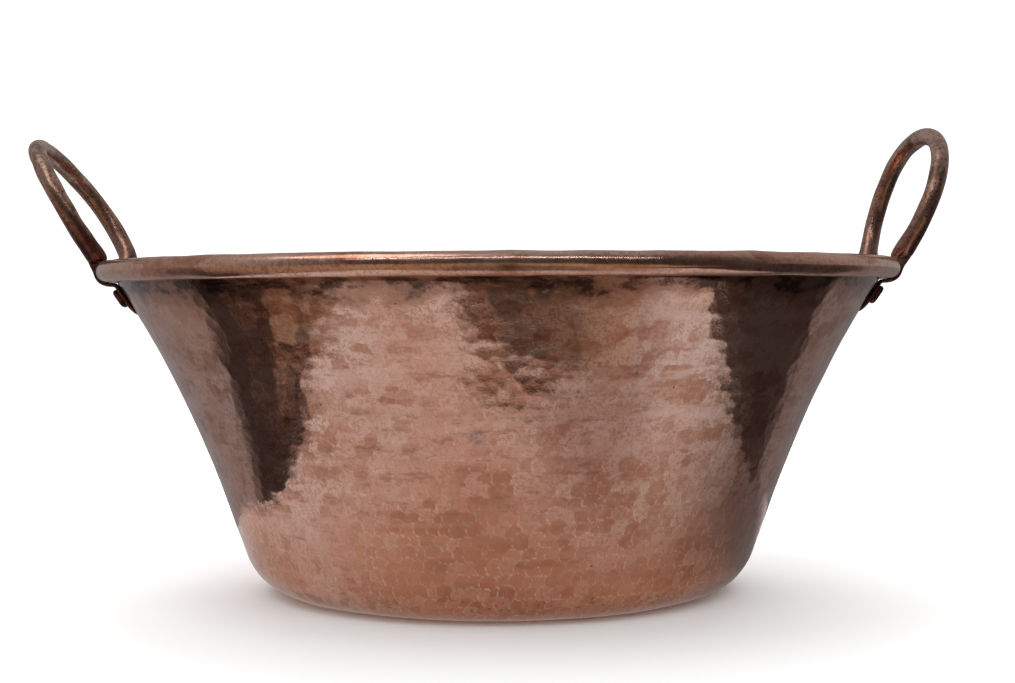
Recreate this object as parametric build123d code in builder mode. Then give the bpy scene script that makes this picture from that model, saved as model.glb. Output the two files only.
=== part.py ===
from build123d import *
import os
from math import asin, atan2, cos, degrees, radians, sin, sqrt

# A hammered copper cauldron: one raised sheet whose rim is rolled over a wire, and two
# standing loop handles, each riveted to the outside of the wall at both feet.
# Millimetres, +Z up, origin at the centre of the flat base, handles on the X axis.

# ---- The bowl ----
RIM_RADIUS = 250.0  # outermost, over the rolled rim
RIM_HEIGHT = 207.0  # top of the rolled rim
BASE_RADIUS = 126.0  # flat part of the base
CORNER_RADIUS = 36.0  # outside radius between base and wall
WALL_FOOT_ANGLE = 19.0  # the wall's lean from vertical just above the corner
WALL_TOP_ANGLE = 33.0  # and just below the rim
FLARE_ARM = 0.345  # arms of the wall's curve, as a share of its straight span
SHEET = 1.5  # thickness of the copper sheet
WIRE_RADIUS = 5.0  # hollow of the roll, which the wire fills
NECK_RADIUS = 18.0  # the wall straightens over this radius to meet the wire
ROLL_ANGLE = 300.0  # how far the sheet wraps round the wire

# ---- The handles ----
ROD_RADIUS = 5.5
LOOP_RADIUS = 50.0  # centreline of the round loop
LOOP_INSET = 6.0  # the loop's foot line lies this far inside the rim's edge
FOOT_TUCK = 5.0  # rod below the top of the rim, cut off inside the strap's thickness
STRAP = 2.5  # thickness of each flattened end
STRAP_TOP_HALF_WIDTH = 8.0
STRAP_END_HALF_WIDTH = 10.0
STRAP_START_ANGLE = 112.0  # the strap saddles the roll, from this far above its side
STRAP_BEND_RADIUS = 4.5  # inside radius where the strap turns down the wall
STRAP_BELOW_RIVET = 14.0

# Direction round the rim, lean from vertical, height of the loop's centreline above its
# feet measured along the lean, and turn about the vertical.
HANDLES = {
    "left": {"azimuth": 180.0, "lean": 33.0, "rise": 86.3, "twist": -1.0},
    "right": {"azimuth": 0.0, "lean": 19.0, "rise": 82.0, "twist": 4.0},
}

# ---- The rivets ----
RIVET_SHARE = 0.97  # how far up the wall's curve the rivets stand
SHANK_RADIUS = 3.0
HEAD_SIDE = 12.0
HEAD_HEIGHT = 4.0
HEAD_CORNER_RADIUS = 2.5
HEAD_EDGE = 0.8  # chamfer round the struck face
PEEN_RADIUS = 6.0
PEEN_HEIGHT = 2.0
PEEN_TAPER = 30.0

# ---- Gaps that keep fitted pieces apart ----
WIRE_GAP = 0.05
HOLE_GAP = 0.05
SEAT_GAP = 0.15  # a flat strap or head against the round rim and wall

ROLL_RADIUS = WIRE_RADIUS + SHEET
ROLL_CENTRE = Vector(RIM_RADIUS - ROLL_RADIUS, RIM_HEIGHT - ROLL_RADIUS)
STRAP_FACE = SEAT_GAP + STRAP  # the strap's outer face above the outside of the wall


def leaning(angle):
    """Unit direction in a radial section, leaning outward from vertical."""
    return Vector(sin(radians(angle)), cos(radians(angle)))


def right_of(direction):
    """The direction in a radial section that lies to the right of another."""
    return Vector(direction.Y, -direction.X)


def wall_line(depth):
    """The bowl's line in a radial section (x the radius, y the height), a depth into the
    sheet: from the centre of the base to the side of the wire."""
    wall_top = leaning(WALL_TOP_ANGLE)
    neck_centre = ROLL_CENTRE - Vector(WIRE_RADIUS + NECK_RADIUS, 0)
    neck_foot = neck_centre + right_of(wall_top) * (NECK_RADIUS - depth)
    with BuildLine() as line:
        base = Line((0, depth), (BASE_RADIUS, depth))
        corner = JernArc(base @ 1, base % 1, CORNER_RADIUS - depth, 90 - WALL_FOOT_ANGLE)
        arm = FLARE_ARM * (neck_foot - corner @ 1).length
        wall = Bezier(
            corner @ 1,
            corner @ 1 + leaning(WALL_FOOT_ANGLE) * arm,
            neck_foot - wall_top * arm,
            neck_foot,
        )
        JernArc(wall @ 1, wall_top, NECK_RADIUS - depth, WALL_TOP_ANGLE)
    return line.line, wall


outer_line, outer_wall = wall_line(0)
inner_line, inner_wall = wall_line(SHEET)
rivet_point = outer_wall @ RIVET_SHARE
rivet_up = outer_wall % RIVET_SHARE
rivet_out = right_of(rivet_up)


def rivet_plane(azimuth):
    """Square to a rivet, on the outside of the wall, with z pointing out of the bowl."""
    origin = Vector(rivet_point.X, 0, rivet_point.Y)
    return Plane(
        origin=origin.rotate(Axis.Z, azimuth),
        x_dir=Vector(0, 1, 0).rotate(Axis.Z, azimuth),
        z_dir=Vector(rivet_out.X, 0, rivet_out.Y).rotate(Axis.Z, azimuth),
    )


def loop_plane(handle):
    """The plane of a handle's loop: origin midway between its feet, y up the lean."""
    foot_line = Vector(RIM_RADIUS - LOOP_INSET, 0, RIM_HEIGHT)
    turn = handle["azimuth"] + handle["twist"]
    normal = Vector(cos(radians(handle["lean"])), 0, -sin(radians(handle["lean"])))
    return Plane(
        origin=foot_line.rotate(Axis.Z, handle["azimuth"]),
        x_dir=Vector(0, 1, 0).rotate(Axis.Z, turn),
        z_dir=normal.rotate(Axis.Z, turn),
    )


def foot_azimuths(handle):
    """Directions round the rim of a handle's front and back feet."""
    half_gap = sqrt(LOOP_RADIUS**2 - (handle["rise"] - LOOP_RADIUS) ** 2)
    feet = [loop_plane(handle).from_local_coords((x, 0, 0)) for x in (-half_gap, half_gap)]
    front, back = sorted(feet, key=lambda foot: foot.Y)
    return {
        "front": degrees(atan2(front.Y, front.X)),
        "back": degrees(atan2(back.Y, back.X)),
    }


RIVETS = {
    f"rivet_{side}_{end}": azimuth
    for side, handle in HANDLES.items()
    for end, azimuth in foot_azimuths(handle).items()
}

# The bowl: one raised sheet, pierced for the four rivets.
with BuildPart() as bowl:
    with BuildSketch(Plane.XZ):
        with BuildLine():
            add([outer_line, inner_line])
            Line(outer_line @ 0, inner_line @ 0)
            Line(outer_line @ 1, inner_line @ 1)
        make_face()
        with BuildLine():
            inside = CenterArc(ROLL_CENTRE, WIRE_RADIUS, 180, -ROLL_ANGLE)
            outside = CenterArc(ROLL_CENTRE, ROLL_RADIUS, 180, -ROLL_ANGLE)
            Line(inside @ 0, outside @ 0)
            Line(inside @ 1, outside @ 1)
        make_face()
    revolve(axis=Axis.Z)
    for azimuth in RIVETS.values():
        with BuildSketch(rivet_plane(azimuth)):
            Circle(SHANK_RADIUS + HOLE_GAP)
        extrude(amount=2 * SHEET, both=True, mode=Mode.SUBTRACT)

# The wire that stiffens the rim, closed inside the roll.
with BuildPart() as rim_wire:
    with BuildSketch(Plane.XZ):
        with Locations(ROLL_CENTRE):
            Circle(WIRE_RADIUS - WIRE_GAP)
    revolve(axis=Axis.Z)

# A handle's flattened end, on the X axis: over the roll, round and under it, and down the
# wall.
with BuildPart() as strap:
    with BuildSketch(Plane.XZ):
        with BuildLine():
            round_roll = CenterArc(
                ROLL_CENTRE, ROLL_RADIUS + SEAT_GAP, STRAP_START_ANGLE, -90 - STRAP_START_ANGLE
            )
            on_wall = rivet_point + rivet_out * SEAT_GAP
            reach = ((round_roll @ 1).Y - on_wall.Y) / rivet_up.Y
            FilletPolyline(
                round_roll @ 1,
                on_wall + rivet_up * reach,
                on_wall - rivet_up * STRAP_BELOW_RIVET,
                radius=STRAP_BEND_RADIUS,
            )
            offset(amount=STRAP, side=Side.LEFT)
        make_face()
    extrude(amount=STRAP_END_HALF_WIDTH, both=True)
    with BuildSketch(Plane.YZ):
        with Locations((0, RIM_HEIGHT)):
            Circle(STRAP_TOP_HALF_WIDTH)
        with Locations((0, rivet_point.Y)):
            Circle(STRAP_END_HALF_WIDTH)
        make_hull()
    extrude(amount=RIM_RADIUS + 2 * ROD_RADIUS, mode=Mode.INTERSECT)
    with BuildSketch(rivet_plane(0)):
        Circle(SHANK_RADIUS + HOLE_GAP)
    extrude(amount=2 * STRAP_FACE, mode=Mode.SUBTRACT)


def make_handle(handle):
    """A round rod bent to a loop, each end flattened to a strap that saddles the roll."""
    centre_height = handle["rise"] - LOOP_RADIUS
    overhang = degrees(asin(centre_height / LOOP_RADIUS) + FOOT_TUCK / LOOP_RADIUS)
    with BuildPart() as body:
        with BuildLine(loop_plane(handle)) as loop:
            CenterArc((0, centre_height), LOOP_RADIUS, -overhang, 180 + 2 * overhang)
        with BuildSketch(Plane(origin=loop.line @ 0, z_dir=loop.line % 0)):
            Circle(ROD_RADIUS)
        sweep(path=loop.line)
        with BuildSketch(Plane.XZ):
            with Locations(ROLL_CENTRE):
                Circle(ROLL_RADIUS + SEAT_GAP + STRAP / 2)
        revolve(axis=Axis.Z, mode=Mode.SUBTRACT)
        for azimuth in foot_azimuths(handle).values():
            add(strap.part, rotation=(0, 0, azimuth))
    return body.part


# A rivet on the X axis: square head outside, shank through strap and wall, peened inside.
with BuildPart() as rivet:
    with BuildSketch(rivet_plane(0).offset(STRAP_FACE)):
        RectangleRounded(HEAD_SIDE, HEAD_SIDE, HEAD_CORNER_RADIUS)
    extrude(amount=HEAD_HEIGHT)
    struck_face = rivet.faces().sort_by(Axis(rivet_plane(0).origin, rivet_plane(0).z_dir))[-1]
    chamfer(struck_face.edges(), HEAD_EDGE)
    with BuildSketch(rivet_plane(0).offset(STRAP_FACE)):
        Circle(SHANK_RADIUS)
    extrude(amount=-STRAP_FACE - SHEET - SEAT_GAP)
    with BuildSketch(rivet_plane(0).offset(-SHEET - SEAT_GAP)):
        Circle(PEEN_RADIUS)
    extrude(amount=-PEEN_HEIGHT, taper=PEEN_TAPER)

pieces = {"bowl": bowl.part, "rim_wire": rim_wire.part}
for side, handle in HANDLES.items():
    pieces[f"handle_{side}"] = make_handle(handle)
for name, azimuth in RIVETS.items():
    pieces[name] = rivet.part.rotate(Axis.Z, azimuth)

os.makedirs("parts", exist_ok=True)
for name, piece in pieces.items():
    piece.label = name
    export_step(piece, f"parts/{name}.step")
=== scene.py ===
from math import asin, atan2, cos, hypot, pi, radians, sin, sqrt, tan

import bpy
import numpy as np
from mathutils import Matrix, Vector


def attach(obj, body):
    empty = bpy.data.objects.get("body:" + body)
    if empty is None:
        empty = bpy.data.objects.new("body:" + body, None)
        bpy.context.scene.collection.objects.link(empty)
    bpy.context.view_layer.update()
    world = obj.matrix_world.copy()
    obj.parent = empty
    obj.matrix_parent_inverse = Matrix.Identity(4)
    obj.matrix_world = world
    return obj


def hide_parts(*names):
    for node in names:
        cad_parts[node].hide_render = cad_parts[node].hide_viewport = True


# The looks of a hammered copper bowl with a wired rim and two riveted loop handles.
# Sizes are millimetres, and become metres where a mesh is made. The bowl stands on the
# origin, +Z up, with its handles on the X axis and its front towards -Y.

MM = 0.001
TINY = 0.001  # a length too short to have a direction

# ---- The bowl's section ----
RIM_RADIUS = 250.0
RIM_HEIGHT = 207.0
BASE_RADIUS = 126.0
CORNER_RADIUS = 36.0
WALL_FOOT_ANGLE = 19.0
WALL_TOP_ANGLE = 33.0
FLARE_ARM = 0.345
SHEET = 1.5
WIRE_RADIUS = 5.0
NECK_RADIUS = 18.0
ROLL_ANGLE = 300.0
ROLL_RADIUS = WIRE_RADIUS + SHEET
ROLL_CENTRE = np.array([RIM_RADIUS - ROLL_RADIUS, RIM_HEIGHT - ROLL_RADIUS])

# ---- The bowl's mesh ----
COLUMNS = 1280  # round the outside; halved where the rows of the base get short
INSIDE_COLUMNS = 640
LEAST_COLUMNS = 40
ROW_STEP = 1.1
INSIDE_ROW_STEP = 1.8
HIDDEN_ROW_STEP = 4.0
ARC_POINTS = 181
CURVE_POINTS = 401


def leaning(angle):
    """Unit direction in a radial section, leaning outward from vertical."""
    return np.array([sin(radians(angle)), cos(radians(angle))])


def lengths_along(points):
    """Distance of each point from the first, along the line through them."""
    return np.concatenate([[0], np.cumsum(np.linalg.norm(np.diff(points, axis=0), axis=1))])


def spaced(points, step):
    """The same line through points, with points about a step apart."""
    lengths = lengths_along(points)
    count = max(2, round(lengths[-1] / step) + 1)
    at = np.linspace(0, lengths[-1], count)
    return np.column_stack([np.interp(at, lengths, points[:, i]) for i in range(points.shape[1])])


def arc(centre, radius, start, sweep):
    """Close points along an arc, angles in degrees."""
    angles = np.radians(np.linspace(start, start + sweep, ARC_POINTS))
    return np.asarray(centre) + radius * np.column_stack([np.cos(angles), np.sin(angles)])


def bezier(a, b, c, d):
    """Close points along a cubic Bezier curve."""
    t = np.linspace(0, 1, CURVE_POINTS)[:, None]
    return (1 - t) ** 3 * a + 3 * (1 - t) ** 2 * t * b + 3 * (1 - t) * t**2 * c + t**3 * d


def wall_curves(depth):
    """The corner, the wall and the neck of the bowl's line in a radial section, a depth into
    the sheet."""
    corner = arc((BASE_RADIUS, CORNER_RADIUS), CORNER_RADIUS - depth, -90, 90 - WALL_FOOT_ANGLE)
    neck_centre = ROLL_CENTRE - (WIRE_RADIUS + NECK_RADIUS, 0)
    neck = arc(neck_centre, NECK_RADIUS - depth, -WALL_TOP_ANGLE, WALL_TOP_ANGLE)
    arm = FLARE_ARM * np.linalg.norm(neck[0] - corner[-1])
    wall = bezier(
        corner[-1],
        corner[-1] + leaning(WALL_FOOT_ANGLE) * arm,
        neck[0] - leaning(WALL_TOP_ANGLE) * arm,
        neck[0],
    )
    return corner, wall, neck


def wall_line(depth):
    """The bowl's line in a radial section, a depth into the sheet, from the centre of the
    base to the side of the wire."""
    corner, wall, neck = wall_curves(depth)
    return np.vstack([[(0.0, depth)], corner, wall[1:], neck[1:]])


# ---- Hammer marks ----
FINE = {"row_height": 7.8, "width": 8.3, "depth": 0.062, "around": 143}
BROAD = {"row_height": 15.0, "width": 20.0, "depth": 0.13, "around": 74}
ROLLED = {"row_height": 9.0, "width": 24.0, "depth": 0.16, "around": 64}
DISC = 0.76  # radius of a blow's mark, as a share of the distance between blows
RIDGE_WIDTH = 0.8
BARE_TONE = 0.45  # chance value between the marks
SEPARATE = 512  # rows, and blows in a row, before the same chances come round again
WAVE_COUNT = 9  # in the slow unevenness of the bowl
WAVE_GAIN = 1.6  # waves that cancel in part come back to about full size

# The small marks fade and the broad ones grow with height on the wall. The heights where
# this starts and is complete wander round the bowl.
WANDER = 12
FINE_FADE = (62, 125)
FINE_LOSS = 0.35
BROAD_FADE = (95, 150)
BROAD_LEAST = 0.25
BROAD_GAIN = 0.5
SMOOTH_NECK = (22, 10)  # marks die out between these depths below the rim
BROAD_RIDGE = 0.5  # how plain the broad marks' ridges are beside the small ones'
LIP = (-0.1, 0.5)  # the lip of a mark grows between these places across it
SETTLE = 0.25  # slow unevenness of the whole wall
SETTLE_RISE = 90  # rise of the unevenness in each radian round the bowl
WALL_SINK = 0.3  # brings the marked wall back to its true surface

ROLL_WAVE = 0.22
ROLL_SINK = 0.15
ROLL_ENDS = (5, 1)  # marks start and stop over these lengths of the roll's section


class Blows:
    """Rows of overlapping hammer blows round the bowl. Each leaves a shallow dish, and where
    two dishes meet there is a ridge."""

    def __init__(self, row_height, width, depth, around, seed, jitter, uneven):
        self.row_height = row_height
        self.width = width
        self.around = around  # blows in each row of the wall
        self.curvature = width**2 / (8 * depth)  # radius of the hammer's face
        self.jitter = jitter
        self.uneven = uneven * depth
        rng = np.random.default_rng(seed)
        self.shift = rng.uniform(-1, 1, (SEPARATE, SEPARATE, 2))
        self.chance = rng.uniform(0, 1, (SEPARATE, SEPARATE))
        # every other row is half a blow round, more or less
        self.phase = np.arange(SEPARATE) % 2 / 2 + rng.uniform(-0.1, 0.1, SEPARATE)

    def blow(self, along, theta, radius, row_radius, row, step):
        """The blow that is step places from a point, in a given row: the point's height in
        its dish, its places across and down from the middle, and the blow's chance value."""
        row = row % len(self.phase)
        # fewer blows go into the short rows under the base
        count = np.maximum(3, np.round(self.around * np.minimum(1, row_radius / BASE_RADIUS)))
        place = theta / (2 * pi) * count + self.phase[row]
        nearest = np.floor(place) + step
        blow = (nearest % count).astype(int) % self.shift.shape[1]
        shift = self.shift[row, blow] * self.jitter
        across = place - nearest - 0.5 - shift[..., 0]
        down = along / self.row_height - shift[..., 1]
        chance = self.chance[row, blow]
        width = 2 * pi * radius / count
        spread = (across * width) ** 2 + (down * self.row_height) ** 2
        return spread / (2 * self.curvature) + self.uneven * chance, across, down, chance

    def marks(self, along, theta, radius, radius_at):
        """At points a length along the section and an angle round the bowl: height, and on
        the last blow to land there, nearness to its edge (0 to 1), its chance value, and how
        far the point is towards its far side (-1 to 1)."""
        lowest = np.full(along.shape, np.inf)
        edge, ahead = np.zeros(along.shape), np.zeros(along.shape)
        tone = np.full(along.shape, BARE_TONE)
        middle_row = np.floor(along / self.row_height).astype(int)
        for row_step in (-1, 0, 1):
            row = middle_row + row_step
            row_along = (row + 0.5) * self.row_height
            for step in (-1, 0, 1):
                height, across, down, chance = self.blow(
                    along - row_along, theta, radius, radius_at(row_along), row, step
                )
                lowest = np.minimum(lowest, height)
                reach = np.hypot(across, down) / DISC
                covered = reach < 1
                edge = np.where(covered, reach, edge)
                tone = np.where(covered, chance, tone)
                ahead = np.where(covered, down / DISC, ahead)
        rim = np.clip(1 - (1 - edge) * DISC * self.width / RIDGE_WIDTH, 0, 1)
        return lowest, rim, tone, ahead


def waves(angle, seed, fewest, most):
    """A smooth random wave round the bowl, seldom past -1 and 1: the sum of several, from
    the one with the fewest turns to the one with the most."""
    rng = np.random.default_rng(seed)
    turns = np.round(np.linspace(fewest, most, WAVE_COUNT))
    starts = rng.uniform(0, 2 * pi, WAVE_COUNT)
    sizes = rng.uniform(0.5, 1, WAVE_COUNT)
    total = sum(s * np.sin(n * angle + a) for n, a, s in zip(turns, starts, sizes))
    return total / sizes.sum() * WAVE_GAIN


def smoothstep(low, high, value):
    """0 below low, 1 above high, and smooth between them."""
    t = np.clip((value - low) / (high - low), 0, 1)
    return t * t * (3 - 2 * t)


def hammered_wall(seed):
    """Hammer marks of one side of the wall: small close rows on the base and low wall, which
    give way to broad shallow dents under the rim."""
    fine = Blows(**FINE, seed=seed, jitter=0.24, uneven=0.5)
    broad = Blows(**BROAD, seed=seed + 1, jitter=0.42, uneven=0.6)
    neck_foot, neck_top = [RIM_HEIGHT - below for below in SMOOTH_NECK]

    def marks(along, theta, radius, height, radius_at):
        level = height + WANDER * waves(theta, seed + 2, 3, 40)
        fine_share = 1 - FINE_LOSS * smoothstep(*FINE_FADE, level)
        broad_share = BROAD_LEAST + BROAD_GAIN * smoothstep(*BROAD_FADE, level)
        fine_height, fine_ridge, tone, ahead = fine.marks(along, theta, radius, radius_at)
        broad_height, broad_ridge, *_ = broad.marks(along, theta, radius, radius_at)
        ridge = np.maximum(fine_ridge * fine_share, broad_ridge * broad_share * BROAD_RIDGE)
        dents = fine_height * fine_share + broad_height * broad_share
        settle = SETTLE * waves(theta + height / SETTLE_RISE, seed + 3, 2, 13)
        top = 1 - smoothstep(neck_foot, neck_top, height)
        lip = ridge * smoothstep(*LIP, -ahead)
        return (dents + settle - WALL_SINK) * top, ridge * top, tone, lip

    return marks


def hammered_roll(seed):
    """Marks along the rolled rim: long facets, and a slow wave of the whole roll."""
    blows = Blows(**ROLLED, seed=seed, jitter=0.35, uneven=0.8)
    first, last = ROLL_ENDS

    def marks(along, theta, radius, height, radius_at):
        dents, ridge, tone, _ = blows.marks(along, theta, radius, radius_at)
        slow = ROLL_WAVE * waves(theta, seed + 1, 7, 44)
        ends = smoothstep(0, first, along - along.min()) * smoothstep(0, last, along.max() - along)
        return (dents + slow - ROLL_SINK) * ends, ridge, tone, np.zeros(ridge.shape)

    return marks


def unmarked(along, theta, radius, height, radius_at):
    """No marks, for the inside of the roll."""
    nothing = np.zeros(along.shape)
    return nothing, nothing, nothing + 0.5, nothing


def column_count(radius, columns):
    """Columns round the bowl at a radius: halved each time the radius halves."""
    halvings = max(0, int(np.ceil(np.log2(BASE_RADIUS / radius))))
    return max(LEAST_COLUMNS, columns // 2**halvings)


def section_bands():
    """The closed section from the middle of the base inside, over the rim and back under the
    base, as (points, marks, columns) bands."""
    inner = spaced(wall_line(SHEET), INSIDE_ROW_STEP)
    outer = spaced(wall_line(0)[::-1], ROW_STEP)
    round_roll = spaced(arc(ROLL_CENTRE, ROLL_RADIUS, 180, -ROLL_ANGLE), ROW_STEP)
    in_roll = spaced(arc(ROLL_CENTRE, WIRE_RADIUS, 180 - ROLL_ANGLE, ROLL_ANGLE), HIDDEN_ROW_STEP)
    return [
        (inner, hammered_wall(11), INSIDE_COLUMNS),
        (round_roll[1:], hammered_roll(21), COLUMNS),
        (in_roll[:-1], unmarked, COLUMNS),
        (outer, hammered_wall(31), COLUMNS),
    ]


def band_vertices(points, marks, columns):
    """Vertices of a band of rows, and the marks' ridge, tone and lip at each."""
    lengths = lengths_along(points)
    tangents = np.gradient(points, axis=0)
    tangents /= np.linalg.norm(tangents, axis=1)[:, None]
    normals = np.column_stack([-tangents[:, 1], tangents[:, 0]])
    counts = [column_count(radius, columns) for radius in points[:, 0]]
    row = np.repeat(np.arange(len(points)), counts)
    theta = np.concatenate([np.arange(n) * 2 * pi / n for n in counts])
    height, *fields = marks(
        lengths[row],
        theta,
        points[row, 0],
        points[row, 1],
        lambda along: np.interp(along, lengths, points[:, 0]),
    )
    flat = points[row] + normals[row] * height[:, None]
    flat[:, 1] = np.maximum(flat[:, 1], 0)
    vertices = np.column_stack([flat[:, 0] * np.cos(theta), flat[:, 0] * np.sin(theta), flat[:, 1]])
    return vertices, counts, fields


def ring_faces(first, count, second, next_count):
    """Blocks of faces between two rings of vertices, where the second ring has as many
    vertices as the first, or twice or half as many."""
    if count < next_count:
        return [block[:, ::-1] for block in ring_faces(second, next_count, first, count)]
    fine = np.arange(count)
    after = (fine + 1) % count
    if count == next_count:
        return [np.column_stack([first + fine, second + fine, second + after, first + after])]
    even = np.arange(0, count, 2)
    a, b, c = first + even, first + even + 1, first + (even + 2) % count
    d, e = second + even // 2, second + (even // 2 + 1) % next_count
    return [np.column_stack(corners) for corners in ((a, d, b), (b, d, e), (b, e, c))]


def placed(name, data, location=(0, 0, 0)):
    """A new object in the scene."""
    made = bpy.data.objects.new(name, data)
    bpy.context.scene.collection.objects.link(made)
    made.location = location
    return made


def mesh_object(name, vertices, face_blocks, attributes=()):
    """A smooth-shaded object from vertices in millimetres."""
    mesh = bpy.data.meshes.new(name)
    faces = [face for block in face_blocks for face in np.asarray(block).tolist()]
    mesh.from_pydata((np.asarray(vertices) * MM).tolist(), [], faces)
    for key, values in dict(attributes).items():
        layer = mesh.attributes.new(key, "FLOAT", "POINT")
        layer.data.foreach_set("value", np.asarray(values, np.float32))
    mesh.shade_smooth()
    mesh.update()
    return placed(name, mesh)


def make_bowl():
    """The hammered bowl as one closed mesh."""
    vertices, counts, fields = [], [], []
    for points, marks, columns in section_bands():
        # a row on the axis has no ring: the rings next to it are closed with one face
        band, band_counts, band_fields = band_vertices(points[points[:, 0] > TINY], marks, columns)
        vertices.append(band)
        counts += band_counts
        fields.append(band_fields)
    starts = np.concatenate([[0], np.cumsum(counts)])
    blocks = []
    for i in range(len(counts) - 1):
        blocks += ring_faces(starts[i], counts[i], starts[i + 1], counts[i + 1])
    blocks.append([np.arange(counts[0])])
    blocks.append([np.arange(starts[-2], starts[-1])[::-1]])
    named = dict(zip(("ridge", "tone", "lip"), np.hstack(fields)))
    return mesh_object("bowl_visual", np.vstack(vertices), blocks, named)


# ---- The handles ----
RISE = np.array([0, 0, 1])
ROD_RADIUS = 5.5
LOOP_RADIUS = 50.0
STRAP = 2.5
SEAT_GAP = 0.15  # a strap or head above the round rim and wall
STRAP_BELOW_RIVET = 14.0
STRAP_BEND_RADIUS = 4.5
RIVET_SHARE = 0.97  # how far up the wall's curve the rivets stand
WALL_STEP = 0.2  # how closely a place on the wall is found
ROLL_SEAT = ROLL_RADIUS + SEAT_GAP

# Side of the bowl, and the loop as it was bent by hand: how far out and how far back the
# middle of its foot line is, how far it leans, rises and bows, how far its feet spread
# inward and outward on the rim, and its twist at the foot and at the top.
HANDLES = {
    "left": {
        "side": -1, "out": 243.3, "shift": 0.1, "lean": 32.7, "rise": 86.4, "bow": -1.8,
        "spread": (2.0, 0.8), "twist": (0.052, -0.013),
    },
    "right": {
        "side": 1, "out": 245.5, "shift": 2.3, "lean": 19.4, "rise": 82.3, "bow": 0.7,
        "spread": (3.2, 0.0), "twist": (0.043, 0.168),
    },
}
ROD_FOOT = 4.5  # the rod is round from this far above the rim, along its lean
FOOT_SWELL = 0.09  # how much thicker the rod grows towards its feet
SWELL_LENGTH = 34
ROD_UNEVEN = 0.16
FORGE_WAVES = 14  # waves of unevenness along a forged piece
FORGE_LENGTHS = (14, 60)
FORGE_TURNS = 4  # a wave winds round the rod fewer times than this
LOOP_SECTIONS = 33
RING_STEP = 1.3
RING_POINTS = 28
SETTLE_PASSES = 4
ROUND = 2.0  # power of a round section
FLAT = 4.5  # power of a flattened one

# Sections of a strap on the wall: distance above the rivet, thickness and half-width.
STRAP_ON_WALL = [
    (-STRAP_BELOW_RIVET, 0.3, 4.0),
    (-STRAP_BELOW_RIVET + 1, 1.0, 7.0),
    (-11, 1.7, 8.8),
    (-7, STRAP, 9.8),
    (0, STRAP, 10.2),
    (3, STRAP, 9.9),
]
BEND_HALF_WIDTH = 9.4
BEND_NARROWING = 0.5  # from the start of the bend to its end
ROLL_HALF_WIDTH = 8.8
ROLL_NARROWING = 0.008  # for each degree round the roll
ROLL_THINNING = 0.009

# Sections where a strap thickens to the rod above the roll: angle round the roll, share of
# the way out to the rod's face, height, half-width and power.
STRAP_TO_ROD = [
    (26, 0.25, 202.9, 7.7, 4.0),
    (54, 0.62, 205.6, 6.9, 3.0),
]
# The last one stands on the roll: heights of its inner and outer points above the rim.
FOOT_HEIGHTS = (0.2, 1.2)
FOOT_TRIM = 0.2  # the rod's outer face is hammered back here
FOOT_HALF_WIDTH = 6.2
FOOT_POWER = 2.3


def ray(angle):
    """Unit direction in a radial section, an angle in degrees up from outward."""
    return np.array([cos(radians(angle)), sin(radians(angle))])


def wall_at(share):
    """Point, upward and outward directions at a share of the outer wall's curve."""
    wall = spaced(wall_curves(0)[1], WALL_STEP)
    place = round(share * (len(wall) - 1))
    up = wall[place + 1] - wall[place - 1]
    up /= np.linalg.norm(up)
    return wall[place], up, np.array([up[1], -up[0]])


RIVET, UP_WALL, OUT_OF_WALL = wall_at(RIVET_SHARE)


def foot_azimuth(handle, end):
    """Angle of a foot round the bowl, from the handle's own direction. End is -1 for the
    front foot and 1 for the back one."""
    centre = handle["rise"] - LOOP_RADIUS
    half_gap = sqrt(LOOP_RADIUS**2 - centre**2)
    return atan2(handle["shift"] + end * half_gap, handle["out"])


def radial_frame(handle, end):
    """Directions out of the bowl and round it at a foot."""
    angle, side = foot_azimuth(handle, end), handle["side"]
    outward = np.array([side * cos(angle), sin(angle), 0])
    around = np.array([-side * sin(angle), cos(angle), 0])
    return outward, around


def station(handle, end, inner, outer, half_width, power):
    """One section of a flattened foot, from its inner and outer points in the radial
    plane: centre, half-width and half-thickness vectors, and power."""
    outward, around = radial_frame(handle, end)
    inner = inner[0] * outward + inner[1] * RISE
    outer = outer[0] * outward + outer[1] * RISE
    middle, thickness = (inner + outer) / 2, (outer - inner) / 2
    return np.concatenate([middle, end * around * half_width, thickness, [power]])


def wall_sections():
    """A strap on the wall, from its thin tip to just above the rivet. Each section is its
    inner point, outer point, half-width and power."""
    for above, thickness, half_width in STRAP_ON_WALL:
        foot = RIVET + UP_WALL * above + OUT_OF_WALL * SEAT_GAP
        yield foot, foot + OUT_OF_WALL * thickness, half_width, FLAT


def bend_sections():
    """The bend that takes a strap from the wall to the underside of the roll."""
    seat = RIVET + OUT_OF_WALL * SEAT_GAP
    corner = seat + UP_WALL * (ROLL_CENTRE[1] - ROLL_SEAT - seat[1]) / UP_WALL[1]
    turn = pi / 2 - atan2(UP_WALL[0], UP_WALL[1])
    start = corner - UP_WALL * STRAP_BEND_RADIUS * tan(turn / 2)
    centre = start + OUT_OF_WALL * STRAP_BEND_RADIUS
    for share in (0, 0.35, 0.7, 1):
        inward = UP_WALL * sin(share * turn) - OUT_OF_WALL * cos(share * turn)
        inner = centre + inward * STRAP_BEND_RADIUS
        outer = centre + inward * (STRAP_BEND_RADIUS - STRAP)
        yield inner, outer, BEND_HALF_WIDTH - BEND_NARROWING * share, FLAT


def roll_sections():
    """A strap round the roll, from its underside to its side, growing narrower and thinner."""
    for angle in (-90, -68, -45, -22, 0):
        inner = ROLL_CENTRE + ROLL_SEAT * ray(angle)
        outer = inner + (STRAP - ROLL_THINNING * (angle + 90)) * ray(angle)
        yield inner, outer, ROLL_HALF_WIDTH - ROLL_NARROWING * (angle + 90), FLAT


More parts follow.
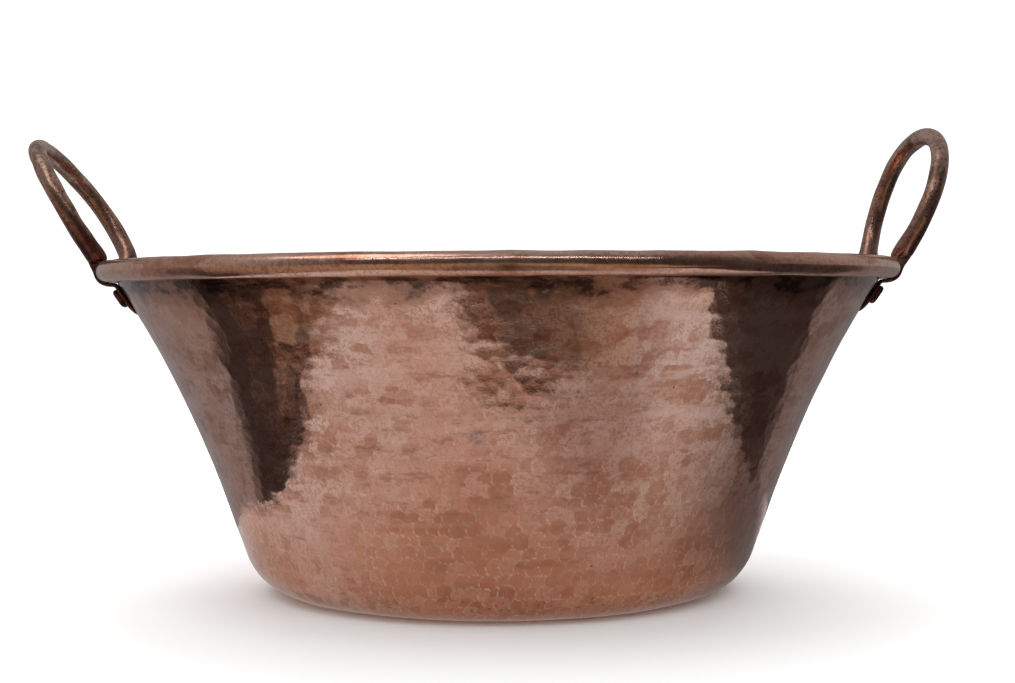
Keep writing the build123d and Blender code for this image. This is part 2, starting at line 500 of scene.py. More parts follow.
def rod_foot_sections(handle, end):
    """Above the roll, where a strap thickens to the round rod."""
    rod = loop_station(handle, -foot_angle(handle) if end > 0 else pi + foot_angle(handle))
    out = hypot(rod[0], rod[1])
    inward, outward = handle["spread"]
    overhang = out + ROD_RADIUS + outward - RIM_RADIUS - STRAP
    for angle, reach, height, half_width, power in STRAP_TO_ROD:
        outer = (RIM_RADIUS + SEAT_GAP + STRAP + reach * overhang, height)
        yield ROLL_CENTRE + ROLL_SEAT * ray(angle), outer, half_width, power
    inner_height, outer_height = FOOT_HEIGHTS
    inner = (out - ROD_RADIUS - inward, RIM_HEIGHT + inner_height)
    outer = (out + ROD_RADIUS - FOOT_TRIM + outward, RIM_HEIGHT + outer_height)
    yield inner, outer, FOOT_HALF_WIDTH, FOOT_POWER


def foot_stations(handle, end):
    """Stations of a whole foot, from the strap's tip up to the start of the rod."""
    strap = [*wall_sections(), *bend_sections(), *roll_sections()]
    return [station(handle, end, *section) for section in (*strap, *rod_foot_sections(handle, end))]


def foot_angle(handle):
    """How far below the loop's own middle its round part ends, in radians."""
    return asin((handle["rise"] - LOOP_RADIUS - ROD_FOOT) / LOOP_RADIUS)


def loop_station(handle, angle):
    """One round section of the loop, at an angle in its own plane, in radians from +Y."""
    lean = radians(handle["lean"])
    centre = handle["rise"] - LOOP_RADIUS
    across = LOOP_RADIUS * cos(angle)
    height = centre + LOOP_RADIUS * sin(angle)
    share = height / handle["rise"]
    low_twist, high_twist = handle["twist"]
    twist = low_twist + (high_twist - low_twist) * share
    proud = handle["bow"] * 4 * share * (1 - share) - across * twist
    side = handle["side"]
    normal = np.array([side * cos(lean), 0, -sin(lean)])
    up = np.array([side * sin(lean), 0, cos(lean)])
    along_y = np.array([0, 1, 0])
    foot = np.array([side * handle["out"], handle["shift"], RIM_HEIGHT])
    middle = foot + up * height + along_y * across + normal * proud
    width = (along_y * cos(angle) + up * sin(angle)) * ROD_RADIUS
    swell = 1 + FOOT_SWELL * (1 - smoothstep(0, SWELL_LENGTH, height))
    return np.concatenate([middle, width, normal * ROD_RADIUS * swell, [ROUND]])


def smooth_path(stations):
    """Stations joined by a Catmull-Rom curve, with rings about RING_STEP apart."""
    stations = np.array(stations)
    gaps = np.linalg.norm(np.diff(stations[:, :3], axis=0), axis=1)
    padded = np.vstack([2 * stations[0] - stations[1], stations, 2 * stations[-1] - stations[-2]])
    pieces = []
    for i, gap in enumerate(gaps):
        a, b, c, d = padded[i : i + 4]
        t = np.linspace(0, 1, max(2, round(gap / RING_STEP)) + 1)[:-1, None]
        slope, square, cube = c - a, 2 * a - 5 * b + 4 * c - d, 3 * b - a - 3 * c + d
        pieces.append(0.5 * (2 * b + slope * t + square * t**2 + cube * t**3))
    return np.vstack([*pieces, stations[-1:]])


def settled(path):
    """The same path with its kinks worn off and its ends kept."""
    for _ in range(SETTLE_PASSES):
        path = np.vstack([path[:1], (path[:-2] + 2 * path[1:-1] + path[2:]) / 4, path[-1:]])
    return path


def superellipse(power, count):
    """Points round a section between an ellipse (power 2) and a rectangle, one row for each
    power."""
    angle = np.linspace(0, 2 * pi, count, endpoint=False)
    power = 2 / power[:, None]
    return [np.sign(v) * np.abs(v) ** power for v in (np.cos(angle), np.sin(angle))]


def tube_mesh(name, rings, mirrored):
    """A closed mesh through rings of points, all with as many points. A mirrored one takes
    them the other way, so that its faces still look outward."""
    if mirrored:
        rings = rings[::-1]
    total, count = rings.shape[:2]
    blocks = []
    for i in range(total - 1):
        blocks += [block[:, ::-1] for block in ring_faces(i * count, count, (i + 1) * count, count)]
    blocks.append([np.arange(count)[::-1]])
    blocks.append([np.arange(count) + (total - 1) * count])
    return mesh_object(name, rings.reshape(-1, 3), blocks)


def forged(rings, amount, seed):
    """The same rings with the slow unevenness that a hammer leaves on a rod."""
    rng = np.random.default_rng(seed)
    centres = rings.mean(axis=1, keepdims=True)
    along = lengths_along(centres[:, 0])[:, None]
    angle = np.linspace(0, 2 * pi, rings.shape[1], endpoint=False)[None, :]
    uneven = np.zeros(rings.shape[:2])
    for _ in range(FORGE_WAVES):
        length = rng.uniform(*FORGE_LENGTHS)
        turns = rng.integers(0, FORGE_TURNS)
        start = rng.uniform(0, 2 * pi)
        uneven += np.sin(2 * pi * along / length + turns * angle + start)
    outward = rings - centres
    outward /= np.maximum(np.linalg.norm(outward, axis=2, keepdims=True), TINY)
    return rings + outward * (amount * uneven / sqrt(FORGE_WAVES))[..., None]


def make_handle(name, handle, seed):
    """A rod bent to a loop, each end hammered flat and wrapped round the roll."""
    overhang = foot_angle(handle)
    angles = np.linspace(pi + overhang, -overhang, LOOP_SECTIONS)
    stations = [
        *foot_stations(handle, -1),
        *[loop_station(handle, angle) for angle in angles],
        *foot_stations(handle, 1)[::-1],
    ]
    path = settled(smooth_path(stations))
    middle, width, thickness = path[:, None, :3], path[:, None, 3:6], path[:, None, 6:9]
    x, y = superellipse(path[:, 9], RING_POINTS)
    rings = middle + x[..., None] * width + y[..., None] * thickness
    return tube_mesh(name, forged(rings, ROD_UNEVEN, seed), mirrored=handle["side"] < 0)


# ---- The rivets ----
SHANK_RADIUS = 3.0
HEAD_SIDE = 12.0
HEAD_HEIGHT = 4.0
HEAD_BEATEN = 0.8  # lost from the head's height where it was struck
PEEN_RADIUS = 6.0
PEEN_HEIGHT = 2.0
RIVET_STEP = 0.55
RIVET_POINTS = 48
RIVET_UNEVEN = 0.08
CORNER_DRAWN = 0.55  # how far hammering moved each corner of a head
HEAD_TURN = 0.16
HEAD_TILT = 0.05
HEAD_NARROWER = 0.05  # round the bowl than up the wall, as a share
STRAP_FACE = SEAT_GAP + STRAP


def rivet_sections():
    """Height above the wall, half-size and power of a rivet's sections, from the middle of
    its struck face to the middle of the peened dome."""
    inside = -SHEET - SEAT_GAP
    top = STRAP_FACE + HEAD_HEIGHT - HEAD_BEATEN
    half = HEAD_SIDE / 2
    sections = [
        (top - 0.1, 0.3, 3.0),
        (top, 2.0, 3.5),
        (top - 0.05, 4.0, 4.5),
        (top - 0.3, half - 1.0, 5.5),
        (top - 0.9, half - 0.25, 6.0),
        (top - 1.8, half, 6.0),
        (STRAP_FACE + 0.9, half + 0.1, 6.0),
        (STRAP_FACE + 0.05, half - 0.2, 5.5),
        (STRAP_FACE, SHANK_RADIUS, ROUND),
        (inside, SHANK_RADIUS, ROUND),
        (inside, PEEN_RADIUS, ROUND),
        (inside - 0.5, PEEN_RADIUS - 0.1, ROUND),
        (inside - 1.3, PEEN_RADIUS - 1.2, 2.1),
        (inside - PEEN_HEIGHT + 0.1, 3.0, 2.3),
        (inside - PEEN_HEIGHT, 0.3, ROUND),
    ]
    return spaced(np.array(sections), RIVET_STEP).T


def beaten_rivet(rng):
    """A rivet's rings as (across, up, out) in its own directions. Hammering drew each corner
    of the head a different way, turned the head and left its face tilted."""
    height, size, power = rivet_sections()
    x, y = superellipse(power, RIVET_POINTS)
    corner = rng.uniform(-CORNER_DRAWN, CORNER_DRAWN, (4, 2))
    turned = rng.uniform(-HEAD_TURN, HEAD_TURN)
    tilt = rng.uniform(-HEAD_TILT, HEAD_TILT, 2)
    right, high = (1 + np.clip(x, -1, 1)) / 2, (1 + np.clip(y, -1, 1)) / 2
    weights = [(1 - right) * (1 - high), right * (1 - high), right * high, (1 - right) * high]
    in_head = smoothstep(SHANK_RADIUS, HEAD_SIDE / 2, size)[:, None] * (height[:, None] > 0)
    drawn = sum(w[..., None] * c for w, c in zip(weights, corner)) * in_head[..., None]
    across = x * size[:, None] * (1 - HEAD_NARROWER * in_head) + drawn[..., 0]
    up = y * size[:, None] + drawn[..., 1]
    out = height[:, None] + (across * tilt[0] + up * tilt[1]) * (height[:, None] > STRAP_FACE + 1)
    return across * cos(turned) - up * sin(turned), across * sin(turned) + up * cos(turned), out


def make_rivet(name, handle, end, seed):
    """A rivet hammered by hand: a boxy head outside with uneven corners, its shank through
    strap and wall, and a low peened dome inside."""
    outward, around = radial_frame(handle, end)
    origin = RIVET[0] * outward + RIVET[1] * RISE
    up_wall = UP_WALL[0] * outward + UP_WALL[1] * RISE
    out_of_wall = OUT_OF_WALL[0] * outward + OUT_OF_WALL[1] * RISE
    across, up, out = [part[..., None] for part in beaten_rivet(np.random.default_rng(seed))]
    rings = origin + across * around + up * up_wall + out * out_of_wall
    return tube_mesh(name, forged(rings, RIVET_UNEVEN, seed), mirrored=handle["side"] > 0)


# ---- Materials ----
class Nodes:
    """A tree of shader nodes, and short calls that add to it."""

    def __init__(self, tree, coordinates):
        self.nodes, self.links = tree.nodes, tree.links
        self.place = self.node("TexCoord").outputs[coordinates]

    def feed(self, socket, value):
        """Links a value to a socket, or sets it there."""
        if isinstance(value, bpy.types.NodeSocket):
            self.links.new(value, socket)
        else:
            socket.default_value = value

    def node(self, kind, **inputs):
        """A new node with the inputs named, underlines standing for spaces."""
        made = self.nodes.new("ShaderNode" + kind)
        for name, value in inputs.items():
            self.feed(made.inputs[name.replace("_", " ")], value)
        return made

    def noise(self, scale, detail=3.0, roughness=0.55, distortion=0.0, stretch=(1, 1, 1)):
        """Cloudy values round 0.5; scale is per metre."""
        stretched = self.node("Mapping", Vector=self.place, Scale=stretch).outputs["Vector"]
        grain = {"Detail": detail, "Roughness": roughness, "Distortion": distortion}
        return self.node("TexNoise", Vector=stretched, Scale=scale, **grain).outputs["Fac"]

    def cells(self, scale):
        """Distance from the nearest of many scattered points, and a chance value of each."""
        cell = self.node("TexVoronoi", Vector=self.place, Scale=scale)
        split = self.node("SeparateColor", Color=cell.outputs["Color"])
        return cell.outputs["Distance"], split.outputs["Red"]

    def field(self, name):
        """A value stored on the mesh's vertices."""
        made = self.node("Attribute")
        made.attribute_name = name
        return made.outputs["Fac"]

    def fade(self, value, low, high, start=0.0, end=1.0):
        """Start where the value is below low, end where it is above high."""
        made = self.node("MapRange", Value=value, From_Min=low, From_Max=high, To_Min=start, To_Max=end)
        made.interpolation_type = "SMOOTHSTEP"
        return made.outputs["Result"]

    def maths(self, operation, a, b=0.0, c=0.0):
        """One arithmetic step."""
        made = self.node("Math")
        made.operation = operation
        for socket, value in zip(made.inputs, (a, b, c)):
            self.feed(socket, value)
        return made.outputs["Value"]

    def times(self, *values):
        """The product of several values."""
        total = values[0]
        for value in values[1:]:
            total = self.maths("MULTIPLY", total, value)
        return total

    def axis(self, name):
        """One coordinate of the place."""
        return self.node("SeparateXYZ", Vector=self.place).outputs[name]

    def distance(self, point):
        """Distance from a point, in metres."""
        made = self.node("VectorMath")
        made.operation = "DISTANCE"
        self.feed(made.inputs[0], self.place)
        self.feed(made.inputs[1], point)
        return made.outputs["Value"]

    def blend(self, share, a, b):
        """Colour a where share is 0, and b where it is 1."""
        made = self.node("Mix")
        made.data_type = "RGBA"
        for socket, value in zip((made.inputs[0], *made.inputs[6:8]), (share, a, b)):
            self.feed(socket, value)
        return made.outputs[2]


class Paint(Nodes):
    """A metal with one Principled shader."""

    def __init__(self, name):
        self.material = bpy.data.materials.new(name)
        self.material.use_nodes = True
        super().__init__(self.material.node_tree, "Object")
        self.shader = self.nodes["Principled BSDF"]
        self.shader.inputs["Metallic"].default_value = 1.0

    def finish(self, tone, roughness, bumps):
        """Feeds the shader. Bumps are (height, strength, distance in metres)."""
        self.feed(self.shader.inputs["Base Color"], tone)
        self.feed(self.shader.inputs["Roughness"], roughness)
        normal = self.shader.inputs["Normal"]
        for height, strength, distance in reversed(bumps):
            bump = self.node("Bump", Height=height, Strength=strength, Distance=distance)
            self.feed(normal, bump.outputs["Normal"])
            normal = bump.inputs["Normal"]
        return self.material


def colour(red, green, blue):
    """A linear colour with full alpha."""
    return (red, green, blue, 1.0)


# Heights and places are metres in the materials, as in the meshes.
ROLL_STARTS = (0.192, 0.196)  # the wall's skin gives way to the roll's between these
RED_FRONT = (0.05, -0.14, 0.035)
GREY_FRONT = (0.095, -0.18, 0.12)
SMEAR = (-0.012, -0.190, 0.110)
# Pale copper for rubbed ridges, and for painted light on some whole marks.
RUBBED_AND_LIT_COPPER = colour(0.95, 0.66, 0.54)


def polished_copper(paint, height, bands):
    """Clean copper: rosy and salmon clouds, redder low down, greyer in one place on the
    front, with browner bands."""
    clouds = paint.noise(7, detail=3)
    salmon, rosy = colour(0.82, 0.44, 0.31), colour(0.90, 0.58, 0.48)
    clouded = paint.blend(paint.fade(clouds, 0.38, 0.62), salmon, rosy)
    low = paint.times(paint.fade(height, 0.02, 0.12, 0.85, 0), paint.fade(clouds, 0.3, 0.6, 1, 0.35))
    warm = paint.blend(low, clouded, colour(0.76, 0.32, 0.19))
    red_front = paint.fade(paint.distance(RED_FRONT), 0.05, 0.17, 0.85, 0)
    redder = paint.blend(red_front, warm, colour(0.66, 0.25, 0.135))
    grey_front = paint.fade(paint.distance(GREY_FRONT), 0.04, 0.12, 0.5, 0)
    greyer = paint.blend(grey_front, redder, colour(0.84, 0.63, 0.54))
    return paint.blend(paint.fade(bands, 0.48, 0.7, 0, 0.42), greyer, colour(0.60, 0.27, 0.17))


def tarnished_marks(paint, base, rows):
    """Whole hammer marks that took more tarnish than their neighbours, in patches of rows, and small
    differences between all of them, which are painted shade and light for marks that face the light a
    little differently."""
    tone = paint.field("tone")
    stained = paint.times(
        paint.fade(rows, 0.41, 0.54),
        paint.fade(tone, 0.4, 0.6, 0.08, 0.78),
        paint.fade(paint.noise(24, detail=2), 0.4, 0.58, 0.2, 1),
        paint.fade(paint.noise(260, detail=3), 0.3, 0.6, 0.45, 1),
    )
    dents = paint.blend(stained, base, colour(0.47, 0.165, 0.09))
    # Painted shade and light: each mark's chance value makes it a little darker or paler, for marks
    # that face the light a little differently.
    mark_shade_and_light = paint.blend(paint.fade(tone, 0.45, 1, 0, 0.24), dents, colour(0.55, 0.24, 0.15))
    return paint.blend(paint.fade(tone, 0.0, 0.45, 0.17, 0), mark_shade_and_light, RUBBED_AND_LIT_COPPER)


def worn_marks(paint, base, rows, mottle):
    """A fine mottle, a darker colour along one edge of the marks, and rubbed ridges round them."""
    mottled = paint.blend(mottle, base, colour(0.53, 0.23, 0.135))
    # Darker along one edge of each mark, beside its ridge.
    lips = paint.times(
        paint.field("lip"),
        paint.fade(paint.noise(90, detail=3), 0.4, 0.54),
        paint.fade(rows, 0.36, 0.56, 0.4, 0.9),
    )
    edged = paint.blend(lips, mottled, colour(0.28, 0.11, 0.07))
    patches = paint.fade(paint.noise(30, detail=4), 0.34, 0.54, 0.3, 0.7)
    return paint.blend(paint.times(paint.field("ridge"), patches), edged, RUBBED_AND_LIT_COPPER)


def dark_dashes(paint, base, height):
    """Short dark strokes along the rows, in the middle of the wall."""
    dashes = paint.noise(60, detail=4, roughness=0.6, stretch=(1, 1, 4))
    middle = paint.times(paint.fade(height, 0.05, 0.08), paint.fade(height, 0.13, 0.17, 1, 0.3))
    strokes = paint.times(paint.fade(dashes, 0.57, 0.68, 0, 0.5), middle)
    return paint.blend(strokes, base, colour(0.34, 0.15, 0.10))


def tarnished_neck(paint, base, height):
    """The neck under the roll, which no cloth reaches: brown with near-black patches."""
    clouds = paint.noise(34, detail=7, roughness=0.68, stretch=(1, 1, 1.5))
    ragged = paint.maths("MULTIPLY_ADD", clouds, 0.035, height)
    below_roll = paint.fade(height, 0.1935, 0.195, 1, 0)
    neck = paint.times(paint.fade(ragged, 0.1955, 0.2025, 0, 0.75), below_roll)
    browned = paint.blend(neck, base, colour(0.42, 0.20, 0.13))
    patches = paint.noise(55, detail=7, roughness=0.7, stretch=(1, 1, 2))
    patchy = paint.fade(patches, 0.42, 0.56, 0.3, 1)
    crust = paint.times(paint.fade(ragged, 0.2025, 0.2065), patchy, below_roll)
    return paint.blend(crust, browned, colour(0.11, 0.055, 0.045))


def specked_sheet(paint, base, height):
    """Dark specks just above the base, scattered pits, and one grey smear on the front."""
    low_specks = paint.times(
        paint.fade(height, 0.002, 0.005),
        paint.fade(height, 0.011, 0.019, 1, 0),
        paint.fade(paint.noise(20, detail=2), 0.4, 0.55),
        paint.fade(paint.noise(340, detail=4), 0.56, 0.66, 0, 0.6),
    )
    specked = paint.blend(low_specks, base, colour(0.18, 0.07, 0.055))
    pit, chance = paint.cells(95)
    pits = paint.times(paint.fade(pit, 0.04, 0.09, 1, 0), paint.fade(chance, 0.78, 0.8), 0.75)
    pitted = paint.blend(pits, specked, colour(0.10, 0.05, 0.04))
    smear = paint.fade(paint.distance(SMEAR), 0.002, 0.007, 0.75, 0)
    cloudy = paint.times(smear, paint.fade(paint.noise(260), 0.3, 0.6))
    return paint.blend(cloudy, pitted, colour(0.21, 0.165, 0.165))


def sheet_roughness(paint, height, bands, scratches):
    """Duller in bands and scratches, and duller still on the roll, where hands go."""
    banded = paint.fade(bands, 0.3, 0.75, 0.07, 0.12)
    scratched = paint.fade(scratches, 0.4, 0.8, 0, 0.05)
    handled = paint.fade(paint.noise(26, detail=3), 0.4, 0.6, 0.05, 0.15)
    on_roll = paint.times(paint.fade(height, *ROLL_STARTS), handled)
    return paint.maths("ADD", paint.maths("ADD", banded, scratched), on_roll)


def copper_sheet():
    """Hand-polished hammered copper: salmon to red-brown, with tarnish in the dents."""
    paint = Paint("copper_sheet")
    height = paint.axis("Z")
    bands = paint.noise(6, detail=5, roughness=0.62, stretch=(0.7, 0.7, 9))
    rows = paint.noise(8, detail=3, stretch=(1.3, 1.3, 11))
    mottle = paint.times(
        paint.fade(paint.noise(400, detail=4, roughness=0.62, distortion=1.0), 0.47, 0.6, 0, 0.66),
        paint.fade(rows, 0.3, 0.62, 0.35, 1),
    )
    polished = polished_copper(paint, height, bands)
    tarnished = tarnished_marks(paint, polished, rows)
    worn = worn_marks(paint, tarnished, rows, mottle)
    dashed = dark_dashes(paint, worn, height)
    crusted = tarnished_neck(paint, dashed, height)
    specked = specked_sheet(paint, crusted, height)
    grain = paint.noise(420, detail=3)
    scratches = paint.noise(210, detail=4, roughness=0.6, distortion=0.6, stretch=(1, 1, 1.6))
    calm_roll = paint.fade(height, *ROLL_STARTS, 1, 0.2)
    bumps = [(paint.times(bump, calm_roll), 0.09, 0.00015) for bump in (grain, scratches, mottle)]
    return paint.finish(specked, sheet_roughness(paint, height, bands, scratches), bumps)


def copper_rod():
    """Forged copper with a brown patina, darkest at the feet and paler towards the tops of the loops."""
    paint = Paint("copper_rod")
    height = paint.axis("Z")
    clouds = paint.noise(30, detail=5, roughness=0.6)
    fine = paint.noise(170, detail=4)
    dark, light = colour(0.17, 0.075, 0.055), colour(0.60, 0.34, 0.25)
    patina = paint.blend(paint.fade(clouds, 0.36, 0.6), dark, light)
    # Paler towards the tops of the loops, by height alone.
    rubbed = paint.times(paint.fade(height, 0.235, 0.29), paint.fade(fine, 0.35, 0.6, 0.25, 0.85))
    paled = paint.blend(rubbed, patina, colour(0.70, 0.50, 0.41))
    worn = paint.blend(paint.fade(fine, 0.52, 0.68, 0, 0.6), paled, colour(0.84, 0.58, 0.45))
    grit = paint.fade(paint.noise(620, detail=3), 0.5, 0.62, 0, 0.55)
    gritty = paint.blend(grit, worn, colour(0.14, 0.075, 0.055))
    foot = paint.times(paint.fade(height, 0.2, 0.266, 0.9, 0), paint.fade(clouds, 0.32, 0.64, 1, 0.45))
    dark_foot = paint.blend(foot, gritty, colour(0.14, 0.055, 0.045))
    speck, chance = paint.cells(330)
    specks = paint.times(paint.fade(speck, 0.12, 0.3, 1, 0), paint.fade(chance, 0.55, 0.62, 0, 0.9))
    specked = paint.blend(specks, dark_foot, colour(0.04, 0.025, 0.025))
    roughness = paint.fade(clouds, 0.3, 0.7, 0.42, 0.27)
    dents = paint.noise(42, detail=1)
    return paint.finish(specked, roughness, [(dents, 0.4, 0.0012), (grit, 0.02, 0.0001)])


def copper_rivet():
    """Dark oxidised copper with struck corners."""
    paint = Paint("copper_rivet")
    clouds = paint.noise(120, detail=4)
    fine = paint.noise(500, detail=3)
    black, brown = colour(0.06, 0.024, 0.022), colour(0.25, 0.10, 0.085)
    skin = paint.blend(paint.fade(clouds, 0.4, 0.68), black, brown)
    roughness = paint.fade(clouds, 0.3, 0.7, 0.5, 0.32)
    return paint.finish(skin, roughness, [(fine, 0.4, 0.0002), (clouds, 0.6, 0.0008)])


def drawn_wire():
    """Plain steel wire with fine drawing lines and a little rust."""
    paint = Paint("steel_wire")
    clouds = paint.noise(60, detail=4)
    lines = paint.noise(900, detail=2, stretch=(0.1, 0.1, 1))
    grey, rust = colour(0.36, 0.35, 0.34), colour(0.22, 0.12, 0.07)
    steel = paint.blend(paint.fade(clouds, 0.5, 0.7), grey, rust)
    return paint.finish(steel, paint.fade(lines, 0.3, 0.7, 0.3, 0.45), [(lines, 0.3, 0.0001)])


# ---- The studio ----
CAMERA_DISTANCE = 1.125
CAMERA_HEIGHT = 0.18245
CAMERA_AIM = (0.00545, 0, 0.15555)
CAMERA_ROLL = -0.0055
CAMERA_LENS = 62.6
FLOOR_RADIUS = 30
TABLE_RADIUS = 8
WHITE_STRENGTH = 1.25


def aim(thing, target):
    """Turns a camera or a light to face a place."""
    facing = (Vector(target) - thing.location).to_track_quat("-Z", "Y")
    thing.rotation_euler = facing.to_euler()


def make_camera():
    """In front of the bowl, a little below the height of its rim."""
    data = bpy.data.cameras.new("camera")
    data.lens = CAMERA_LENS
    camera = placed("camera", data, (0, -CAMERA_DISTANCE, CAMERA_HEIGHT))
    aim(camera, CAMERA_AIM)
    camera.rotation_euler.rotate_axis("Z", CAMERA_ROLL)
    bpy.context.scene.camera = camera


def make_floor():
    """A plain pale floor, seen by the camera but not mirrored in the copper."""
    bpy.ops.mesh.primitive_circle_add(vertices=128, radius=FLOOR_RADIUS, fill_type="NGON")
    floor = bpy.context.active_object
    floor.name = "floor"
    material = bpy.data.materials.new("floor")
    material.use_nodes = True
    shader = material.node_tree.nodes["Principled BSDF"]
    shader.inputs["Base Color"].default_value = colour(0.9, 0.9, 0.9)
    shader.inputs["Roughness"].default_value = 1
    shader.inputs["Specular IOR Level"].default_value = 0
    floor.data.materials.append(material)
    floor.visible_glossy = False


# Outline of the glowing mat under the bowl, painted light that stands in for a lit mat seen only in the
# copper, from the middle of its front edge towards the left and on round. The notch in front is where
# someone stands in its light.
MAT_OUTLINE = [
    (52, -298), (3, -300), (-26, -304), (-55, -317), (-70, -345), (-140, -345),
    (-196, -345), (-204, -285), (-218, -252), (-240, -232), (-250, -205), (-250, -150),
    (-247, -90), (-256, -25), (-275, 60), (-215, 250), (0, 330), (240, 280),
    (300, 140), (293, 20), (306, -40), (312, -100), (302, -160), (282, -205),
    (300, -240), (300, -345), (205, -345), (190, -280), (172, -268), (150, -264),
    (128, -274), (102, -290),
]


class Glow(Paint):
    """A paint that shines by itself, for what the copper mirrors: painted light in place of lit
    surroundings.
    """

    def shine(self, tone):
        """Puts a glow of a colour in the shader's place."""
        self.nodes.remove(self.shader)
        glow = self.node("Emission", Color=tone).outputs["Emission"]
        self.feed(self.nodes["Material Output"].inputs["Surface"], glow)
        return self.material


def bright_mat():
    """Painted light of a lit mat: brightest at its far edges, with painted shadow of the bowl near it
    and on the right, painted shade where someone stands in front, and a painted contact shadow round
    the bowl's foot."""
    paint = Glow("bright_mat")
    # Painted shadow of the bowl, darkest close to it.
    near = paint.fade(paint.distance((0.03, 0, 0)), 0.14, 0.30, 0.6, 0)
    lit = paint.blend(near, colour(0.56, 0.56, 0.57), colour(0.31, 0.255, 0.215))
    # Painted shade where someone stands in front of the mat.
    front = paint.fade(paint.distance((0.14, -0.30, 0)), 0.05, 0.12, 0.75, 0)
    shaded_by_figure = paint.blend(front, lit, colour(0.33, 0.275, 0.26))
    # Painted shadow of the bowl on the mat's right.
    shade = paint.fade(paint.distance((0.25, 0.02, 0)), 0.04, 0.24, 1, 0)
    shaded = paint.blend(shade, shaded_by_figure, colour(0.14, 0.14, 0.15))
    # Painted contact shadow round the bowl's foot.
    contact_shadow = paint.fade(paint.distance((0, 0, 0)), 0.132, 0.165, 0.2, 0)
    return paint.shine(paint.blend(contact_shadow, shaded, colour(0.09, 0.06, 0.05)))


def table_sides(paint, across, along):
    """Dark beside the mat, with wood that catches some light at the near left and right."""
    ragged = paint.maths("MULTIPLY_ADD", paint.noise(32, detail=6, roughness=0.7), 0.7, along)
    left = paint.times(paint.fade(ragged, 0.125, 0.195, 1, 0), paint.fade(across, -0.12, 0, 1, 0))
    left_lit = paint.blend(left, colour(0.045, 0.039, 0.040), colour(0.29, 0.225, 0.175))
    right = paint.times(
        paint.fade(across, 0.25, 0.36, 1, 0),
        paint.fade(across, 0.18, 0.2),
        paint.fade(ragged, 0.05, 0.3, 1, 0.3),
    )
    return paint.blend(right, left_lit, colour(0.15, 0.12, 0.10))


def table_front(paint, sides, across, along):
    """Someone in dark cloth, close in front of the bowl, and warm wood beyond, with a painted shadow of
    them falling straight ahead on it.
    """
    figure = paint.fade(paint.distance((0.07, -0.33, 0)), 0.12, 0.17, 1, 0)
    mixed = paint.fade(paint.noise(22, detail=2), 0.4, 0.6)
    cloth = paint.blend(mixed, colour(0.085, 0.075, 0.07), colour(0.20, 0.145, 0.105))
    faded = paint.blend(paint.fade(across, 0.085, 0.18), cloth, colour(0.41, 0.32, 0.275))
    stood = paint.blend(figure, sides, faded)
    beside = paint.maths("ABSOLUTE", paint.maths("SUBTRACT", across, 0.02))
    # Painted shadow: the wood gives way to darker table in a strip straight ahead, where the person in
    # front blocks the light.
    wood = paint.times(
        paint.fade(along, -0.46, -0.38, 1, 0),
        paint.fade(beside, 0.4, 0.6, 1, 0),
        paint.fade(beside, 0.08, 0.14, 0.1, 1),
    )
    return paint.blend(wood, stood, colour(0.36, 0.27, 0.16))


def dim_table():
    """The table round the mat, and a grey room behind it, as a glow of painted light and shade for the
    copper to mirror.
    """
    paint = Glow("dim_table")
    across, along = paint.axis("X"), paint.axis("Y")
    sides = table_sides(paint, across, along)
    front = table_front(paint, sides, across, along)
    slanted = paint.maths("MULTIPLY_ADD", across, 0.42, -0.111)
    edge = paint.maths("MAXIMUM", slanted, -0.045)
    behind = paint.fade(paint.maths("SUBTRACT", along, edge), 0.0, 0.05)
    left, right = colour(0.27, 0.27, 0.28), colour(0.19, 0.185, 0.19)
    room = paint.blend(paint.fade(across, -0.1, 0.25), left, right)
    return paint.shine(paint.blend(behind, front, room))


def only_mirrored(thing):
    """Shows a stage object to mirrored rays alone."""
    thing.visible_camera = False
    thing.visible_diffuse = False
    thing.visible_shadow = False


def make_mirrored_ground():
    """What the copper mirrors below it: a bright mat on a dim table, both glowing with painted light
    and shade.
    """
    bpy.ops.mesh.primitive_circle_add(
        vertices=64, radius=TABLE_RADIUS, fill_type="NGON", location=(0, 0, -2 * MM)
    )
    table = bpy.context.active_object
    table.name = "mirrored_table"
    table.data.materials.append(dim_table())
    only_mirrored(table)
    outline = bpy.data.curves.new("mirrored_mat", "CURVE")
    outline.dimensions = "2D"
    outline.fill_mode = "BOTH"
    spline = outline.splines.new("NURBS")
    spline.points.add(len(MAT_OUTLINE) - 1)
    for point, (x, y) in zip(spline.points, MAT_OUTLINE):
        point.co = (x * MM, y * MM, 0, 1)
    spline.order_u = 3
    spline.use_cyclic_u = True
    mat = placed("mirrored_mat", outline, (0, 0, -MM))
    outline.materials.append(bright_mat())
    only_mirrored(mat)


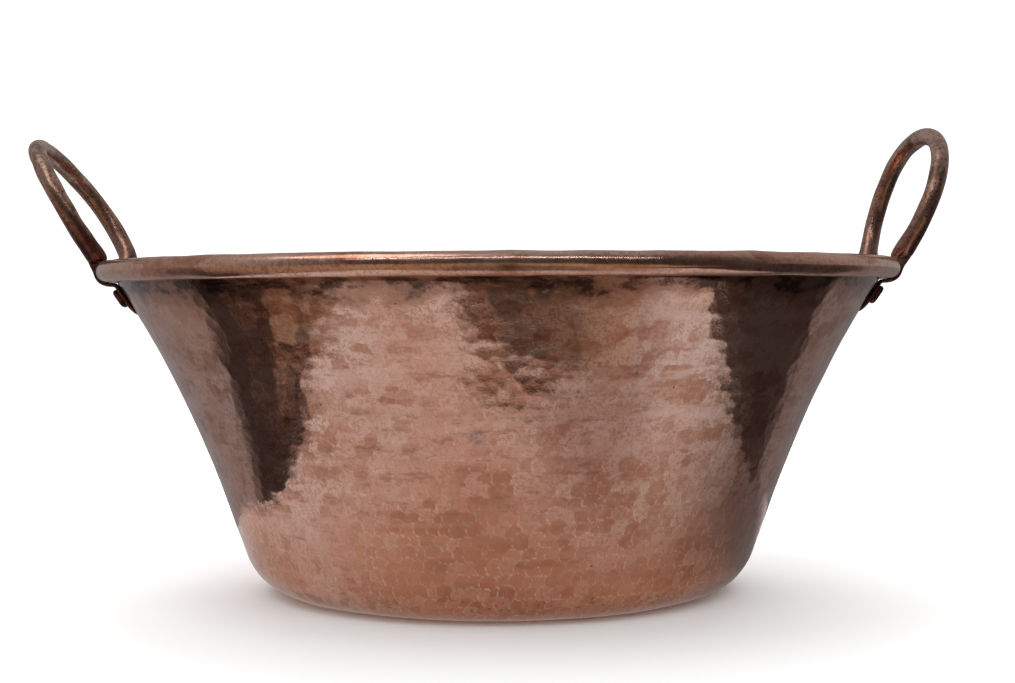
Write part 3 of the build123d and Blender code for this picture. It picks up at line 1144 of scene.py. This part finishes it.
def make_world():
    """White all round for the camera and the floor. The copper mirrors a dimmer studio,
    darkest in front and brightest behind and to the left."""
    world = bpy.data.worlds.new("studio")
    bpy.context.scene.world = world
    world.use_nodes = True
    studio = Nodes(world.node_tree, "Generated")
    behind_left = studio.maths("MULTIPLY_ADD", studio.axis("X"), -0.31, studio.axis("Y"))
    strength = studio.fade(behind_left, -0.9, 0.3, 0.04, 0.38)
    dim = studio.node("Background", Color=colour(0.8, 0.8, 0.8), Strength=strength)
    white = studio.nodes["Background"]
    studio.feed(white.inputs["Color"], colour(1, 1, 1))
    studio.feed(white.inputs["Strength"], WHITE_STRENGTH)
    mix = studio.node("MixShader", Fac=studio.node("LightPath").outputs["Is Glossy Ray"])
    studio.feed(mix.inputs[1], white.outputs["Background"])
    studio.feed(mix.inputs[2], dim.outputs["Background"])
    studio.feed(studio.nodes["World Output"].inputs["Surface"], mix.outputs["Shader"])


def make_softbox(name, location, target, size, power):
    """A rectangular area light, its size a width and a height."""
    data = bpy.data.lights.new(name, "AREA")
    data.shape = "RECTANGLE"
    data.size, data.size_y = size
    data.energy = power
    light = placed(name, data, location)
    aim(light, target)
    return light


def make_studio():
    """Floor, surroundings and lights."""
    make_floor()
    make_mirrored_ground()
    make_world()
    back = make_softbox("back_softbox", (0, 1.8, 1.35), (0, 0, 0.2), size=(2.4, 0.5), power=26)
    back.visible_glossy = False
    make_softbox("top_softbox", (-0.9, -0.5, 2.2), (0, 0, 0.1), size=(1.2, 1.2), power=6)
    make_softbox("front_strip", (0, -1.7, 2.1), (0, 0, 0.2), size=(3.2, 0.1), power=6)


def dress(piece, material, node):
    """Gives a piece its material, and lets it stand for its CAD node."""
    piece.data.materials.append(material)
    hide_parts(node)
    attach(piece, "root")


# ---- The object ----
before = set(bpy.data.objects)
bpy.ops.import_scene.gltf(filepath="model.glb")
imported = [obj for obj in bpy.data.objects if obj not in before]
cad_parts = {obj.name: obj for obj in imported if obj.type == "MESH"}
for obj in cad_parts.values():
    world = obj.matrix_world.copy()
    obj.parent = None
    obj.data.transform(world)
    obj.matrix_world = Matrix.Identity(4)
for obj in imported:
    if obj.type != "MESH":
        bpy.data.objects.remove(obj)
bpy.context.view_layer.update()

sheet, rod, rivet_metal, wire = copper_sheet(), copper_rod(), copper_rivet(), drawn_wire()

dress(make_bowl(), sheet, "bowl")

for side, handle in HANDLES.items():
    loop = make_handle(f"handle_{side}_visual", handle, seed=41 + handle["side"])
    dress(loop, rod, f"handle_{side}")
    for end_name, end in (("front", -1), ("back", 1)):
        node = f"rivet_{side}_{end_name}"
        rivet = make_rivet(f"{node}_visual", handle, end, seed=50 + 2 * handle["side"] + end)
        dress(rivet, rivet_metal, node)

rim_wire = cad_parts["rim_wire"]
rim_wire.data.materials.clear()
rim_wire.data.materials.append(wire)

make_camera()
make_studio()
bpy.context.scene.view_settings.view_transform = "Standard"
